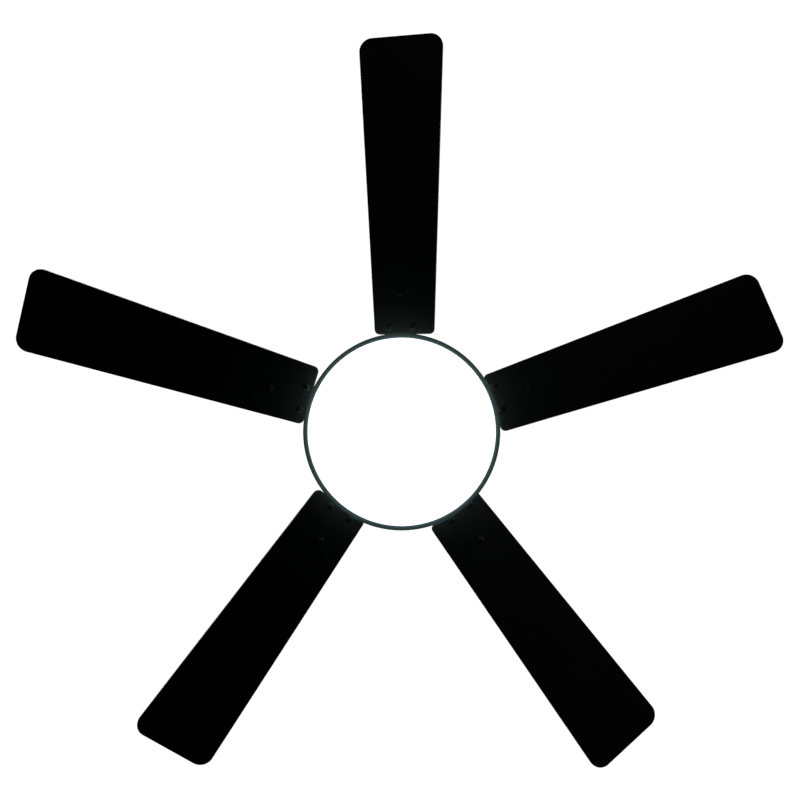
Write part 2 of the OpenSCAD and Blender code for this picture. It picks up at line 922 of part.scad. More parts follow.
// One end bell, drawn as the lower one with its outer face at z = 0
module end_bell() {
    edge = 6;
    wall_top = bell_depth + stack_h / 2;
    difference() {
        union() {
            rotate_extrude()
            polygon(concat(
                [[0, 0]],
                arc(motor_r - edge, edge, edge, -90, 0),
                [[motor_r, wall_top], [motor_r - bell_wall, wall_top]],
                [[motor_r - bell_wall, bell_t], [0, bell_t]]
            ));
            cylinder(h = bearing_h + bearing_inset + 2, r = boss_r);
        }
        translate([0, 0, -1])
            cylinder(h = bell_depth, r = bell_hole_r);
        children();
    }
}

module motor_bottom_bell() {
    color(cast_alloy)
    difference() {
        translate([0, 0, z_motor])
        end_bell()
            translate([0, 0, bearing_inset + 2])
                cylinder(h = bell_depth, r = bearing_r + fit_gap);
        at_motor_bolts()
        translate([0, 0, z_motor - 1])
            cylinder(h = bell_t + 2, d = bolt_d + 4 * fit_gap, $fn = 32);
        for (i = [1:blade_count])
            along_blade(i)
            at_foot_screws()
            translate([0, 0, z_motor - 1])
                cylinder(h = bell_t + 2, d = foot_screw_d + 2 * fit_gap, $fn = 32);
    }
}

module motor_top_bell() {
    color(cast_alloy)
    difference() {
        translate([0, 0, z_motor_top])
        mirror([0, 0, 1])
        end_bell()
            translate([0, 0, bearing_inset])
                cylinder(h = bell_depth, r = bearing_r + fit_gap);
        at_motor_bolts()
        translate([0, 0, z_motor_top - bell_t - 1])
            cylinder(h = bell_t + 2, d = bolt_d + 4 * fit_gap, $fn = 32);
    }
}

// Long bolts that clamp the two bells on the core
module motor_bolts() {
    color(zinc)
    at_motor_bolts()
    translate([0, 0, z_motor_top])
        screw(bolt_d, motor_h, 1.8 * bolt_d, 2);
}

// ---------------------------------------------------------------- housing

// Spun steel cover over the motor, screwed to the coupling's flange
module motor_housing() {
    z_top = z_flange + housing_wall;
    shoulder_x = housing_r - shoulder_r;
    hem = 2;
    color(black_paint)
    difference() {
        rotate_extrude()
        polygon(concat(
            [[housing_hole_r, z_top]],
            arc(shoulder_x, z_top - shoulder_r, shoulder_r, 90, 0),
            [[housing_r, z_housing + hem], [housing_r - 0.4, z_housing]],
            [[housing_r - housing_wall - hem, z_housing], [housing_r - housing_wall - hem, z_housing + 1]],
            [[housing_r - housing_wall, z_housing + 1 + hem]],
            arc(shoulder_x, z_top - shoulder_r, shoulder_r - housing_wall, 0, 90),
            [[housing_hole_r, z_flange]]
        ));
        at_housing_screws(z_flange - 1)
            cylinder(h = housing_wall + 2, d = housing_screw_d + 0.4, $fn = 32);
        for (i = [0:vents - 1])
            rotate(i * 360 / vents)
            translate([vent_r, 0, z_flange - 1])
                vent_slot();
    }
}

module vent_slot() {
    run = vent_l - vent_w;
    translate([-run / 2, -vent_w / 2, 0])
        cube([run, vent_w, housing_wall + 2]);
    for (x = [-1, 1])
        translate([x * run / 2, 0, 0])
            cylinder(h = housing_wall + 2, d = vent_w, $fn = 32);
}

module housing_screws() {
    color(zinc)
    at_housing_screws(z_flange + housing_wall)
        screw(housing_screw_d, yoke_flange_t + housing_wall, 7.6, 2.4);
}

// ---------------------------------------------------------------- blade irons and blades

module foot_outline() {
    hull() {
        at_foot_screws()
            circle(r = 8.5, $fn = 32);
        for (y = [-1, 1])
            translate([foot_out_r, y * 8])
                circle(r = 6, $fn = 32);
    }
}

// Triangle with round corners round the three blade screws, r beyond their middles
module pad_outline(r, inset) {
    hull() {
        for (y = [-1, 1])
            translate([pair_r + inset, y * (screw_pair_w / 2 - inset)])
                circle(r = r, $fn = 32);
        translate([third_r - 1.8 * inset, 0])
            circle(r = r, $fn = 32);
    }
}

// Cast arm: a foot under the motor, a bend outwards and down, and a pad on top of the blade
module blade_iron(i) {
    z_foot = z_motor - gasket_t - iron_t;
    z_pad = blade_t / 2;
    color(black_paint)
    along_blade(i)
    difference() {
        union() {
            translate([0, 0, z_foot])
            linear_extrude(iron_t)
                foot_outline();
            hull() {
                translate([foot_out_r, -iron_arm_w / 2, z_foot + 0.3])
                    cube([1, iron_arm_w, iron_t - 0.6]);
                pitched()
                translate([iron_bend_r, -iron_arm_w / 2, z_pad + iron_bend_up])
                    cube([1, iron_arm_w, pad_t]);
            }
            pitched()
            iron_step();
            pitched()
            translate([0, 0, z_pad]) {
                linear_extrude(pad_t)
                    pad_outline(10, 0);
                at_blade_screws()
                    cylinder(h = pad_t + boss_h, d = boss_d, $fn = 48);
            }
        }
        at_foot_screws()
        translate([0, 0, z_foot - 1])
            cylinder(h = iron_t + 2, d = foot_screw_d + 0.5, $fn = 32);
        pitched()
        translate([0, 0, z_pad - 1]) {
            at_blade_screws()
                cylinder(h = pad_t + boss_h + 3, d = blade_screw_d + 2 * fit_gap, $fn = 32);
            linear_extrude(pad_t + boss_h + 3)
                pad_outline(3, 14);
        }
    }
}

// The part of the arm that steps down from the bend to the pad
module iron_step() {
    w = iron_arm_w + 3;
    z_pad = blade_t / 2;
    z_bend = z_pad + iron_bend_up;
    translate([0, w / 2, 0])
    rotate([90, 0, 0])
    linear_extrude(w)
    polygon([
        [iron_bend_r - 2, z_bend - 0.6],
        [iron_bend_r - 2, z_bend + pad_t + 0.6],
        [iron_bend_r + 2, z_bend + pad_t + 0.6],
        [pair_r + 4, z_pad + pad_t - 0.6],
        [pair_r, z_pad + 0.6],
        [iron_bend_r + 2, z_bend - 0.6]
    ]);
}

module iron_gaskets() {
    color("#5a4636")
    for (i = [1:blade_count])
        along_blade(i)
        translate([0, 0, z_motor - gasket_t])
        difference() {
            linear_extrude(gasket_t)
                foot_outline();
            at_foot_screws()
            translate([0, 0, -1])
                cylinder(h = gasket_t + 2, d = foot_screw_d + 0.5, $fn = 32);
        }
}

module iron_screws() {
    color(zinc)
    for (i = [1:blade_count])
        along_blade(i)
        at_foot_screws()
        translate([0, 0, z_motor - gasket_t - iron_t])
        rotate([180, 0, 0])
            screw(foot_screw_d, iron_t + gasket_t + bell_t, 9, 2.8);
}

// Flat board, wider at its tip, with round corners
module blade_outline() {
    root_x = root_r + blade_root_r;
    tip_x = tip_r - blade_tip_r;
    hull()
        for (y = [-1, 1]) {
            translate([root_x, blade_root_offset + y * (blade_root_w / 2 - blade_root_r)])
                circle(r = blade_root_r, $fn = 64);
            translate([tip_x, y * (blade_tip_w / 2 - blade_tip_r)])
                circle(r = blade_tip_r, $fn = 96);
        }
}

module blade(i) {
    color(black_blade)
    along_blade(i)
    pitched()
    difference() {
        translate([0, 0, -blade_t / 2])
        linear_extrude(blade_t)
            blade_outline();
        at_blade_screws()
        translate([0, 0, -blade_t])
            cylinder(h = 2 * blade_t, d = blade_screw_d + 0.6, $fn = 32);
    }
}

module blade_screws() {
    color(black_paint)
    for (i = [1:blade_count])
        along_blade(i)
        pitched()
        at_blade_screws()
        translate([0, 0, -blade_t / 2 - washer_t])
        rotate([180, 0, 0])
            screw(blade_screw_d, washer_t + blade_t + pad_t + boss_h, blade_head_d, blade_head_h);
}

// Fibre washers between the screw heads and the blades
module blade_washers() {
    color("#1c1c1c")
    for (i = [1:blade_count])
        along_blade(i)
        pitched()
        at_blade_screws()
            tube(washer_d / 2, blade_screw_d / 2 + 2 * fit_gap, -blade_t / 2 - washer_t, -blade_t / 2);
}

// ---------------------------------------------------------------- neck and switch

module at_neck_screws(z) {
    for (a = [90:120:330])
        rotate(a)
        translate([neck_screw_r, 0, z])
            children();
}

switch_z = z_neck_top - neck_h / 2 - 2;
switch_face_y = -(neck_r - neck_wall - 1.4);
switch_body = [24, 10, 12];
knob_h = 4;
knob_base_l = 7;
knob_out = 6;

// Deep-drawn cup on the shaft's lower end that carries the light
module light_neck() {
    slot_l_x = knob_l + 2 * switch_travel + 4 * running_gap;
    slot_h = knob_h + 2 * running_gap;
    color(black_paint)
    difference() {
        union() {
            translate([0, 0, z_neck_top - neck_top_t])
                cylinder(h = neck_top_t, r = neck_r);
            tube(neck_r, neck_r - neck_wall, z_pan, z_neck_top - neck_top_t);
            tube(neck_r + neck_flange_w, neck_r - neck_wall, z_pan, z_pan + neck_wall);
        }
        translate([0, 0, z_neck_top - neck_top_t - 1])
            cylinder(h = neck_top_t + 2, r = shaft_r + fit_gap);
        at_neck_screws(z_pan - 1)
            cylinder(h = neck_wall + 2, d = neck_screw_d + 0.4, $fn = 32);
        translate([-slot_l_x / 2, -neck_r - 1, switch_z - slot_h / 2])
            cube([slot_l_x, neck_wall + 3, slot_h]);
    }
}

module neck_nut() {
    color(zinc)
    translate([0, 0, z_neck_top - neck_top_t - nut_t])
    difference() {
        cylinder(h = nut_t, d = nut_w / cos(30), $fn = 6);
        translate([0, 0, -1])
            cylinder(h = nut_t + 2, r = shaft_r + fit_gap);
    }
}

// Body of the slide switch that reverses the motor, behind the neck's wall
module reverse_switch() {
    channel_l = knob_base_l + 2 * switch_travel + 2 * running_gap;
    channel_h = knob_h + 2 * running_gap;
    channel_y = 5;
    color("#2a2a2a")
    difference() {
        translate([-switch_body[0] / 2, switch_face_y, switch_z - switch_body[2] / 2])
            cube(switch_body);
        translate([-channel_l / 2, switch_face_y - 1, switch_z - channel_h / 2])
            cube([channel_l, channel_y + 1, channel_h]);
    }
}

module reverse_knob() {
    base_y = 4.4;
    color("#e8e8e8")
    union() {
        translate([-knob_base_l / 2, switch_face_y + 0.2, switch_z - knob_h / 2])
            cube([knob_base_l, base_y, knob_h]);
        translate([-knob_l / 2, -neck_r - knob_out, switch_z - knob_h / 2])
            cube([knob_l, knob_out + neck_r + switch_face_y + 1, knob_h]);
    }
}

// Soft step from 0 to 1 as t goes from 0 to 1
function smooth(t) = let (u = min(max(t, 0), 1)) u * u * (3 - 2 * u);

// Middle of the lead at height z: past the ball's pin on one side, a quarter turn round the rod,
// past the clevis pin on another side, then into the middle for the hollow shaft
lead_off = pin_d / 2 + lead_gap + lead_d / 2;
lead_turn_high = z_ball + ball_pin_up - pin_d / 2 - 4;
lead_turn_low = z_rod + clevis_up + pin_d / 2 + 4;
lead_in_high = z_rod + clevis_up - pin_d / 2 - 4;
function lead_middle(z) =
    let (
        turn = 90 * smooth((z - lead_turn_low) / (lead_turn_high - lead_turn_low)),
        off = lead_off * smooth((z - z_yoke_floor) / (lead_in_high - z_yoke_floor))
    )
    [off * cos(turn), off * sin(turn), z];

// Sleeved wires, down through the rod and the hollow shaft to the light's driver
module supply_lead() {
    z_end = z_pan + driver_h;
    rings = 48;
    sides = 20;
    points = [
        for (k = [0:rings])
            let (m = lead_middle(z_end + (z_lead_top - z_end) * k / rings))
            for (j = [0:sides - 1])
                let (a = 360 * j / sides)
                m + lead_d / 2 * [cos(a), sin(a), 0]
    ];
    walls = [
        for (k = [0:rings - 1], j = [0:sides - 1])
            let (next = (j + 1) % sides)
            [k * sides + j, (k + 1) * sides + j, (k + 1) * sides + next, k * sides + next]
    ];
    low_end = [for (j = [0:sides - 1]) j];
    high_end = [for (j = [sides - 1:-1:0]) rings * sides + j];
    color("#d8d8d4")
    polyhedron(points = points, faces = concat(walls, [low_end, high_end]), convexity = 4);
}

module led_driver() {
    lid_t = 2;
    color("#e6e6e2")
    translate([0, 0, z_pan]) {
        rounded_box([driver_l, driver_w, driver_h - lid_t], 3);
        translate([0, 0, driver_h - lid_t])
            rounded_box([driver_l - 4, driver_w - 4, lid_t], 2);
    }
}

// ---------------------------------------------------------------- light

// Steel pan: flat top, sloping shoulder and a side with three lugs for the rim
module light_pan() {
    c1 = [pan_flat_r, z_pan - pan_top_bend];
    c2_r = pan_r - pan_side_bend;
    step = pan_side_bend - pan_top_bend + (c2_r - c1[0]) * cos(pan_normal);
    c2 = [c2_r, c1[1] - step / sin(pan_normal)];
    color(black_paint)
    difference() {
        union() {
            rotate_extrude()
            polygon(concat(
                [[pan_hole_r, z_pan]],
                arc(c1[0], c1[1], pan_top_bend, 90, pan_normal),
                arc(c2[0], c2[1], pan_side_bend, pan_normal, 0),
                [[pan_r, z_pan_edge], [pan_r - pan_wall, z_pan_edge]],
                arc(c2[0], c2[1], pan_side_bend - pan_wall, 0, pan_normal),
                arc(c1[0], c1[1], pan_top_bend - pan_wall, pan_normal, 90),
                [[pan_hole_r, z_pan - pan_wall]]
            ));
            for (a = [0:120:240])
                rotate(a)
                translate([pan_r - pan_wall / 2, 0, z_lug])
                rotate([0, 90, 0])
                    cylinder(h = lug_reach + pan_wall / 2 - running_gap, d = lug_d, $fn = 32);
        }
        at_neck_screws(z_pan - pan_wall - 1)
            cylinder(h = pan_wall + 2, d = neck_screw_d + 2 * fit_gap, $fn = 32);
        at_board_screws(z_pan - pan_wall - 1)
            cylinder(h = pan_wall + 2, d = board_screw_d + 2 * fit_gap, $fn = 32);
    }
}

module pan_screws() {
    color(zinc)
    at_neck_screws(z_pan + neck_wall)
        screw(neck_screw_d, neck_wall + pan_wall, 7.6, 2.4);
}

module at_board_screws(z) {
    for (a = [45:90:315])
        rotate(a)
        translate([board_screw_r, 0, z])
            children();
}

module led_board() {
    z_board = z_pan - pan_wall - board_t;
    color("#f2f2ee")
    difference() {
        translate([0, 0, z_board])
            cylinder(h = board_t, r = board_r);
        at_board_screws(z_board - 1)
            cylinder(h = board_t + 2, d = board_screw_d + 0.3, $fn = 32);
        translate([0, 0, z_board - 1])
            cylinder(h = board_t + 2, r = pan_hole_r);
    }
}

module led_chips() {
    z_chip = z_pan - pan_wall - board_t - chip_t;
    color("#f4d35e")
    for (ring = chip_rings, i = [0:ring[0] - 1])
        rotate((i + 0.5) * 360 / ring[0])
        translate([ring[1] * board_r - chip_w / 2, -chip_w / 2, z_chip])
            cube([chip_w, chip_w, chip_t]);
}

module board_screws() {
    color(zinc)
    at_board_screws(z_pan - pan_wall - board_t)
    rotate([180, 0, 0])
        screw(board_screw_d, board_t + pan_wall, 5.6, 1.8);
}

// Part of the rim's groove for a lug: from angle a0 to a1 and from height z0 to z1
module rim_groove(a0, a1, z0, z1, depth) {
    rotate(a0)
    rotate_extrude(angle = a1 - a0)
    translate([rim_bore_r - 1, z0])
        square([depth + 1, z1 - z0]);
}

// Metal rim with an inner lip for the diffuser and three bent grooves for the pan's lugs
module light_rim() {
    slot_half = lug_d / 2 + running_gap;
    z_top = z_rim + rim_h;
    color(dark_rim)
    difference() {
        rotate_extrude()
        polygon(concat(
            [[lip_r, z_lip], [lip_r, z_rim + 0.5], [lip_r + 0.5, z_rim]],
            [[light_r - 2.4, z_rim], [light_r - 2.2, z_rim + 0.7], [light_r - 1.9, z_rim + 0.7]],
            arc(light_r - 1.4, z_rim + 1.6, 1.4, -110, 0),
            [[light_r, z_top - 0.5], [light_r - 0.5, z_top]],
            [[rim_bore_r, z_top], [rim_bore_r, z_lip]]
        ));
        for (a = [0:120:240])
            rotate(a) {
                rim_groove(-lug_play_deg, twist_deg, z_lug - slot_half, z_lug + slot_half, lug_reach);
                rim_groove(twist_deg - lug_play_deg, twist_deg + lug_play_deg,
                    z_lug - slot_half - 0.3, z_top + 1, lug_reach + 0.2);
            }
    }
}

// Opal dish: a flange that lies on the rim's lip and a slightly domed face below it
module diffuser() {
    flange_r = rim_bore_r - running_gap;
    face_r = lip_r - running_gap;
    z_edge = z_lip - skirt_h;
    z_low = z_edge - diffuser_crown;
    steps = 16;
    face = [for (i = [0:steps]) let (s = i / steps)
        [face_r * s, z_low + diffuser_crown * s * s]];
    back = [for (i = [steps:-1:0]) let (s = i / steps)
        [(face_r - diffuser_t) * s, z_low + diffuser_t + diffuser_crown * s * s]];
    color(opal)
    rotate_extrude()
    polygon(concat(
        face,
        [[face_r, z_lip], [flange_r, z_lip], [flange_r, z_lip + flange_t]],
        [[face_r - diffuser_t, z_lip + flange_t]],
        back
    ));
}

hanger_bracket();
canopy();
canopy_screws();
canopy_trim_ring();
remote_receiver();
hanger_ball();
ball_pin();
ball_set_screw();
downrod();
motor_yoke();
clevis_pin();
cotter_clip();
yoke_set_screws();
yoke_lock_nuts();
coupling_cover();
motor_shaft();
stator_core();
stator_windings();
bearing_inner_races();
bearing_balls();
bearing_outer_races();
rotor_core();
rotor_cage();
motor_top_bell();
motor_bottom_bell();
motor_bolts();
motor_housing();
housing_screws();
for (i = [1:blade_count])
    blade_iron(i);
iron_gaskets();
iron_screws();
for (i = [1:blade_count])
    blade(i);
blade_screws();
blade_washers();
light_neck();
neck_nut();
reverse_switch();
reverse_knob();
supply_lead();
led_driver();
light_pan();
pan_screws();
led_board();
led_chips();
board_screws();
light_rim();
diffuser();
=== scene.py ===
# %% [markdown]
# # A ceiling fan with a round light
# The fan hangs below Z = 0, the ceiling, and is looked at from underneath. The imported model
# gives every piece its true size and place, so this script adds only what makes it look real:
# finishes, rounded boards and castings, a lit diffuser, and a plain studio round it.

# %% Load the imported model
import json
import math

import bmesh
import bpy
from mathutils import Matrix, Vector
from mathutils.geometry import convex_hull_2d


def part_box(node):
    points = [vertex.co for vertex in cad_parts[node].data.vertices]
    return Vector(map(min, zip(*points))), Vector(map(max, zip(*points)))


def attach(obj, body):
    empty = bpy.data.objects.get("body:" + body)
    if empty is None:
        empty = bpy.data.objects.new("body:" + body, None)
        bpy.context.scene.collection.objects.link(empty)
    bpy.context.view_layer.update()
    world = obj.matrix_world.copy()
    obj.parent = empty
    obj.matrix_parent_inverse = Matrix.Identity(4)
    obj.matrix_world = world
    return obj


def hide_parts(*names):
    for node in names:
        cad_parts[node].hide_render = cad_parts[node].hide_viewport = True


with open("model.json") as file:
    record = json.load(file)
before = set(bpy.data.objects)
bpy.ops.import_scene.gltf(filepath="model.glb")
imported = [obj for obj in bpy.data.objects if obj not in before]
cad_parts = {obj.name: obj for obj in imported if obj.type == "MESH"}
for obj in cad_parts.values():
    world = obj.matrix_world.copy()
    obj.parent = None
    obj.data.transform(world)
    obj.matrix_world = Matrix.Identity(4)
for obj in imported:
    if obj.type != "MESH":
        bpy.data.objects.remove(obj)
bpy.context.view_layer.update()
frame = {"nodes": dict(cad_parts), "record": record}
nodes = frame["nodes"]

# %% [markdown]
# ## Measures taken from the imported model
# Most sizes can be read off the boxes of the nodes: the blades' length and height, the light's
# radius, the height of its rim. Only the pitch and the corner radii can't be read from a box,
# so they are written here as a designer would state them.

# %% Measures
BLADES = 5
FIRST_BLADE = -90
PITCH = math.radians(12)
BLADE_THICKNESS = 0.006
ROOT_CORNER = 0.009
TIP_CORNER = 0.022
ROOT_WIDTH = 0.102
TIP_WIDTH = 0.143
ROOT_OFFSET = 0.0065

blade_low, blade_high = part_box("blade_1")
rim_low, rim_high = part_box("light_rim")
root_radius = -blade_high.y
tip_radius = -blade_low.y
light_radius = rim_high.x
lean = TIP_WIDTH / 2 * math.sin(PITCH) + BLADE_THICKNESS / 2 * math.cos(PITCH)
blade_height = blade_high.z - lean
print("blades from", round(root_radius, 4), "to", round(tip_radius, 4), "m")
print("blades' middle at", round(blade_height, 4), "m, light's radius", round(light_radius, 4), "m")

# %% [markdown]
# ## The camera
# Someone stands almost under the fan and points a plain lens at it. The camera is a little to
# one side of the axis and turned about one degree, which is why the light doesn't sit in the
# middle of the view. The three directions of its frame are built one by one and put in a matrix.

# %% Camera
EYE = Vector((-0.0328, -0.0561, -1.344))
TURN_X = math.radians(0.273)
TURN_Y = math.radians(-1.353)
TURN_Z = math.radians(0.033)
LENS = 36
SENSOR = 36
FARTHEST = 60

turns = [Matrix.Rotation(angle, 3, axis) for angle, axis in ((TURN_Z, "Z"), (TURN_Y, "Y"), (TURN_X, "X"))]
right, down, ahead = (Vector(row) for row in turns[0] @ turns[1] @ turns[2])
pose = Matrix((right, -down, -ahead)).transposed().to_4x4()
pose.translation = EYE + Vector((0, 0, blade_height))

camera_data = bpy.data.cameras.new("camera")
camera_data.lens = LENS
camera_data.sensor_width = SENSOR
camera_data.clip_end = FARTHEST
camera = bpy.data.objects.new("camera", camera_data)
camera.matrix_world = pose
bpy.context.scene.collection.objects.link(camera)
bpy.context.scene.camera = camera
print("camera at", [round(v, 3) for v in camera.matrix_world.translation])

# %% [markdown]
# ## The studio
# The room is left out: a wide pale floor lies where a floor would be, and everything else is
# white. The floor and the white surround are seen by the camera but throw no light back up, the
# way black cloth would be laid under a dark product, so that the undersides stay deep black.
# The view transform is the plain one, in which white stays white.

# %% Floor and surround
FLOOR_HEIGHT = -2.45
FLOOR_HALF = 30
WHITE = (1, 1, 1, 1)
SURROUND_STRENGTH = 1.05

scene = bpy.context.scene
scene.view_settings.view_transform = "Standard"

world = bpy.data.worlds.new("surround")
world.use_nodes = True
background = world.node_tree.nodes["Background"]
background.inputs["Color"].default_value = WHITE
background.inputs["Strength"].default_value = SURROUND_STRENGTH
world.cycles_visibility.diffuse = False
world.cycles_visibility.glossy = False
world.cycles_visibility.transmission = False
scene.world = world

floor_mesh = bpy.data.meshes.new("floor")
floor_corners = [
    (x * FLOOR_HALF, y * FLOOR_HALF, FLOOR_HEIGHT) for x, y in ((-1, -1), (1, -1), (1, 1), (-1, 1))
]
floor_mesh.from_pydata(floor_corners, [], [(0, 1, 2, 3)])
floor = bpy.data.objects.new("floor", floor_mesh)
floor.visible_diffuse = False
floor.visible_glossy = False
scene.collection.objects.link(floor)
print("floor at", FLOOR_HEIGHT, "m")

# %% [markdown]
# ## Lamps
# Big soft lamps make the quiet highlights that show the shape of black paint. A wide one stands
# above and to the left, a second one on the right, a third behind, and a weak one lies low in
# front. One sun with a very soft edge fills everything from above and lights the floor. Each
# lamp is given by its place, its width in metres and its power in watts, and hides from the camera.

# %% Soft lamps
SUN_STRENGTH = 2.6
SUN_SPREAD = math.radians(50)
SUN_TILT = (math.radians(14), math.radians(-10), 0)


def soft_lamp(name, place, aim, size, power, colour=(1, 1, 1)):
    data = bpy.data.lights.new(name, "AREA")
    data.shape = "SQUARE"
    data.size = size
    data.energy = power
    data.color = colour
    lamp = bpy.data.objects.new(name, data)
    lamp.location = place
    lamp.rotation_euler = (Vector(aim) - Vector(place)).to_track_quat("-Z", "Y").to_euler()
    lamp.visible_camera = False
    scene.collection.objects.link(lamp)
    return lamp


hub = (0, 0, blade_height)
soft_lamp("key", (-2.0, -2.2, 1.5), hub, 1.8, 150)
soft_lamp("side", (2.6, -0.8, 0.6), hub, 1.4, 60)
soft_lamp("behind", (0.6, 2.8, 1.2), hub, 1.6, 45)
soft_lamp("low_front", (0.3, -2.6, -1.2), hub, 1.2, 2.5)

sun_data = bpy.data.lights.new("sky", "SUN")
sun_data.energy = SUN_STRENGTH
sun_data.angle = SUN_SPREAD
sun = bpy.data.objects.new("sky", sun_data)
sun.rotation_euler = SUN_TILT
sun.visible_camera = False
scene.collection.objects.link(sun)

# %% [markdown]
# ## Light that spills onto the blades
# The lit disc is so bright that the blades' roots next to it catch a cold glow, which dies away
# within a hand's width, and the rim round the disc catches it too. A ring of small lamps between
# the light and the blades gives that fall-off by distance alone, and a full ring looks the same
# however the blades have turned. The lamps reach only what is in the collection lit_boards, so
# that they don't dot the paint of the pan with reflections. One wide lamp below reaches only
# what is in lit_rim. Both collections are filled further down, once the boards are made.

# %% Spill lamps
SPILL_LAMPS = 40
SPILL_RADIUS = 0.148
SPILL_DROP = 0.026
SPILL_POWER = 0.0078
SPILL_SIZE = 0.006
SPILL_COLOUR = (0.66, 1.0, 0.9)
RIM_GLOW_PLACE = (0.1, -0.1, -1.75)
RIM_GLOW_SIZE = 1.5
RIM_GLOW_POWER = 9
RIM_GLOW_COLOUR = (0.66, 0.96, 1.0)

lit_boards = bpy.data.collections.new("lit_boards")
lit_rim = bpy.data.collections.new("lit_rim")

for index in range(SPILL_LAMPS):
    angle = 2 * math.pi * index / SPILL_LAMPS
    data = bpy.data.lights.new(f"spill_{index + 1}", "POINT")
    data.energy = SPILL_POWER
    data.color = SPILL_COLOUR
    data.shadow_soft_size = SPILL_SIZE
    lamp = bpy.data.objects.new(f"spill_{index + 1}", data)
    reach = Vector((math.cos(angle), math.sin(angle), 0)) * SPILL_RADIUS
    lamp.location = reach + Vector((0, 0, blade_height - SPILL_DROP))
    lamp.visible_camera = False
    scene.collection.objects.link(lamp)
    lamp.light_linking.receiver_collection = lit_boards

rim_lamp = soft_lamp("rim_glow", RIM_GLOW_PLACE, hub, RIM_GLOW_SIZE, RIM_GLOW_POWER, RIM_GLOW_COLOUR)
rim_lamp.light_linking.receiver_collection = lit_rim

# %% [markdown]
# ## Helpers for finishes
# Every finish is a small tree of nodes that ends in one Principled shader. The same few moves
# come back in each of them: a noise at some scale, a remap of its range, a mix of two colours,
# a bump. Each helper makes one such node and hands back the socket to plug in. Noise scales are
# waves per metre, and a bump's depth is in metres, so both can be judged against the real thing.

# %% Node helpers
class Finish:
    """One material under construction: its tree, its shader and its surface coordinates."""

    def __init__(self, name, roughness=0.5, metallic=0.0, specular=0.5):
        self.material = bpy.data.materials.new(name)
        self.material.use_nodes = True
        self.tree = self.material.node_tree
        self.tree.nodes.clear()
        output = self.tree.nodes.new("ShaderNodeOutputMaterial")
        self.shader = self.tree.nodes.new("ShaderNodeBsdfPrincipled")
        self.tree.links.new(self.shader.outputs["BSDF"], output.inputs["Surface"])
        self.shader.inputs["Roughness"].default_value = roughness
        self.shader.inputs["Metallic"].default_value = metallic
        self.shader.inputs["Specular IOR Level"].default_value = specular
        self.place = self.tree.nodes.new("ShaderNodeTexCoord").outputs["Object"]
        self.height = None

    def plug(self, socket, value):
        if isinstance(value, bpy.types.NodeSocket):
            self.tree.links.new(value, socket)
        else:
            socket.default_value = value

    def stretch(self, scale, source=None):
        node = self.tree.nodes.new("ShaderNodeMapping")
        node.inputs["Scale"].default_value = scale
        self.tree.links.new(source or self.place, node.inputs["Vector"])
        return node.outputs["Vector"]

    def noise(self, scale, detail=3.0, source=None, distortion=0.0):
        node = self.tree.nodes.new("ShaderNodeTexNoise")
        node.inputs["Scale"].default_value = scale
        node.inputs["Detail"].default_value = detail
        node.inputs["Distortion"].default_value = distortion
        self.tree.links.new(source or self.place, node.inputs["Vector"])
        return node.outputs["Fac"]

    def cells(self, scale, source=None):
        node = self.tree.nodes.new("ShaderNodeTexVoronoi")
        node.inputs["Scale"].default_value = scale
        self.tree.links.new(source or self.place, node.inputs["Vector"])
        return node.outputs["Distance"]

    def bands(self, scale, direction="Z", distortion=0.0, source=None):
        node = self.tree.nodes.new("ShaderNodeTexWave")
        node.wave_type = "BANDS"
        node.bands_direction = direction
        node.inputs["Scale"].default_value = scale
        node.inputs["Distortion"].default_value = distortion
        self.tree.links.new(source or self.place, node.inputs["Vector"])
        return node.outputs["Fac"]

    def remap(self, value, low, high, to_low, to_high):
        node = self.tree.nodes.new("ShaderNodeMapRange")
        node.inputs["From Min"].default_value = low
        node.inputs["From Max"].default_value = high
        node.inputs["To Min"].default_value = to_low
        node.inputs["To Max"].default_value = to_high
        self.tree.links.new(value, node.inputs["Value"])
        return node.outputs["Result"]

    def maths(self, operation, a, b):
        node = self.tree.nodes.new("ShaderNodeMath")
        node.operation = operation
        self.plug(node.inputs[0], a)
        self.plug(node.inputs[1], b)
        return node.outputs["Value"]

    def mix(self, share, a, b):
        node = self.tree.nodes.new("ShaderNodeMix")
        node.data_type = "RGBA"
        self.plug(node.inputs["Factor"], share)
        colours = [s for s in node.inputs if s.type == "RGBA"]
        self.plug(colours[0], a)
        self.plug(colours[1], b)
        return next(s for s in node.outputs if s.type == "RGBA")

    def upward(self):
        """From 0 on walls and undersides to 1 on faces that look up, where dust settles."""
        geometry = self.tree.nodes.new("ShaderNodeNewGeometry")
        split = self.tree.nodes.new("ShaderNodeSeparateXYZ")
        self.tree.links.new(geometry.outputs["Normal"], split.inputs["Vector"])
        return self.remap(split.outputs["Z"], 0.35, 0.95, 0.0, 1.0)

    def bump(self, value, depth, strength=1.0):
        node = self.tree.nodes.new("ShaderNodeBump")
        node.inputs["Strength"].default_value = strength
        node.inputs["Distance"].default_value = depth
        self.tree.links.new(value, node.inputs["Height"])
        if self.height:
            self.tree.links.new(self.height, node.inputs["Normal"])
        self.height = node.outputs["Normal"]

    def done(self, colour=None, roughness=None):
        if colour is not None:
            self.plug(self.shader.inputs["Base Color"], colour)
        if roughness is not None:
            self.plug(self.shader.inputs["Roughness"], roughness)
        if self.height:
            self.tree.links.new(self.height, self.shader.inputs["Normal"])
        return self.material


def grey(value, warm=0.0):
    return (value * (1 + warm), value, value * (1 - warm), 1)


print("a slightly warm grey:", grey(0.5, 0.02))

# %% [markdown]
# ## Black powder coat
# Canopy, housing, cover, rod, irons and pan share one satin black. Powder melts into a skin with
# a fine orange peel, so there is a shallow bump about a millimetre across. The gloss changes in
# patches where hands have been, and a thin film of dust lies on whatever faces up.

# %% Powder coat
PAINT_BLACK = 0.017
PAINT_DUST = 0.1


